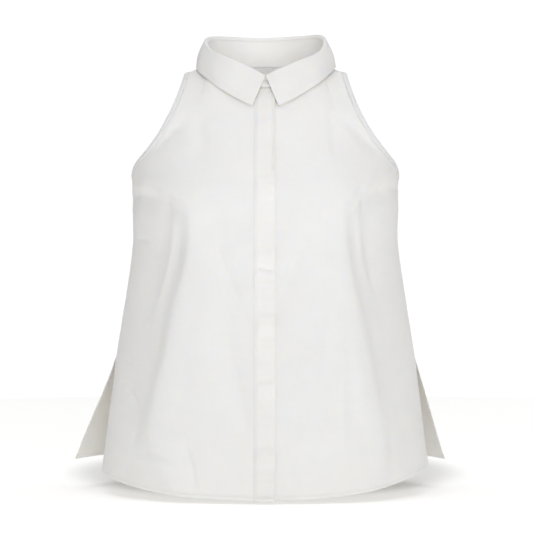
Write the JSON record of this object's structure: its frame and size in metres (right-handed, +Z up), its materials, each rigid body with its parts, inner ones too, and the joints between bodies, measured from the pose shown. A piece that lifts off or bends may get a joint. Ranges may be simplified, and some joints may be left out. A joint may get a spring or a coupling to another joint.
{
  "type": "sleeveless button-up shirt",
  "caption": "Sleeveless button-up shirt in white cotton, halter cut, with a turned-down collar, hidden fly front, bust darts and side slits, filled out as worn.",
  "frame": {"origin": "the middle of the shoulder line, where the wearer's shoulders and neck hold the shirt", "axes": "+Z up along the shirt, -Y towards its front, +X towards the wearer's left"},
  "size_m": [0.4446, 0.2823, 0.5463],
  "materials": {
    "white_cotton": "matt plain-woven cotton",
    "shirt_button": "polished"
  },
  "bodies": {
    "root": {"front_right": "white_cotton", "front_left": "white_cotton", "back": "white_cotton", "placket": "white_cotton", "collar_stand": "white_cotton", "collar_leaf": "white_cotton", "armhole_binding_right": "white_cotton", "armhole_binding_left": "white_cotton", "button_1": "shirt_button", "button_2": "shirt_button", "button_3": "shirt_button", "button_4": "shirt_button", "button_5": "shirt_button", "button_6": "shirt_button"}
  },
  "joints": []
}
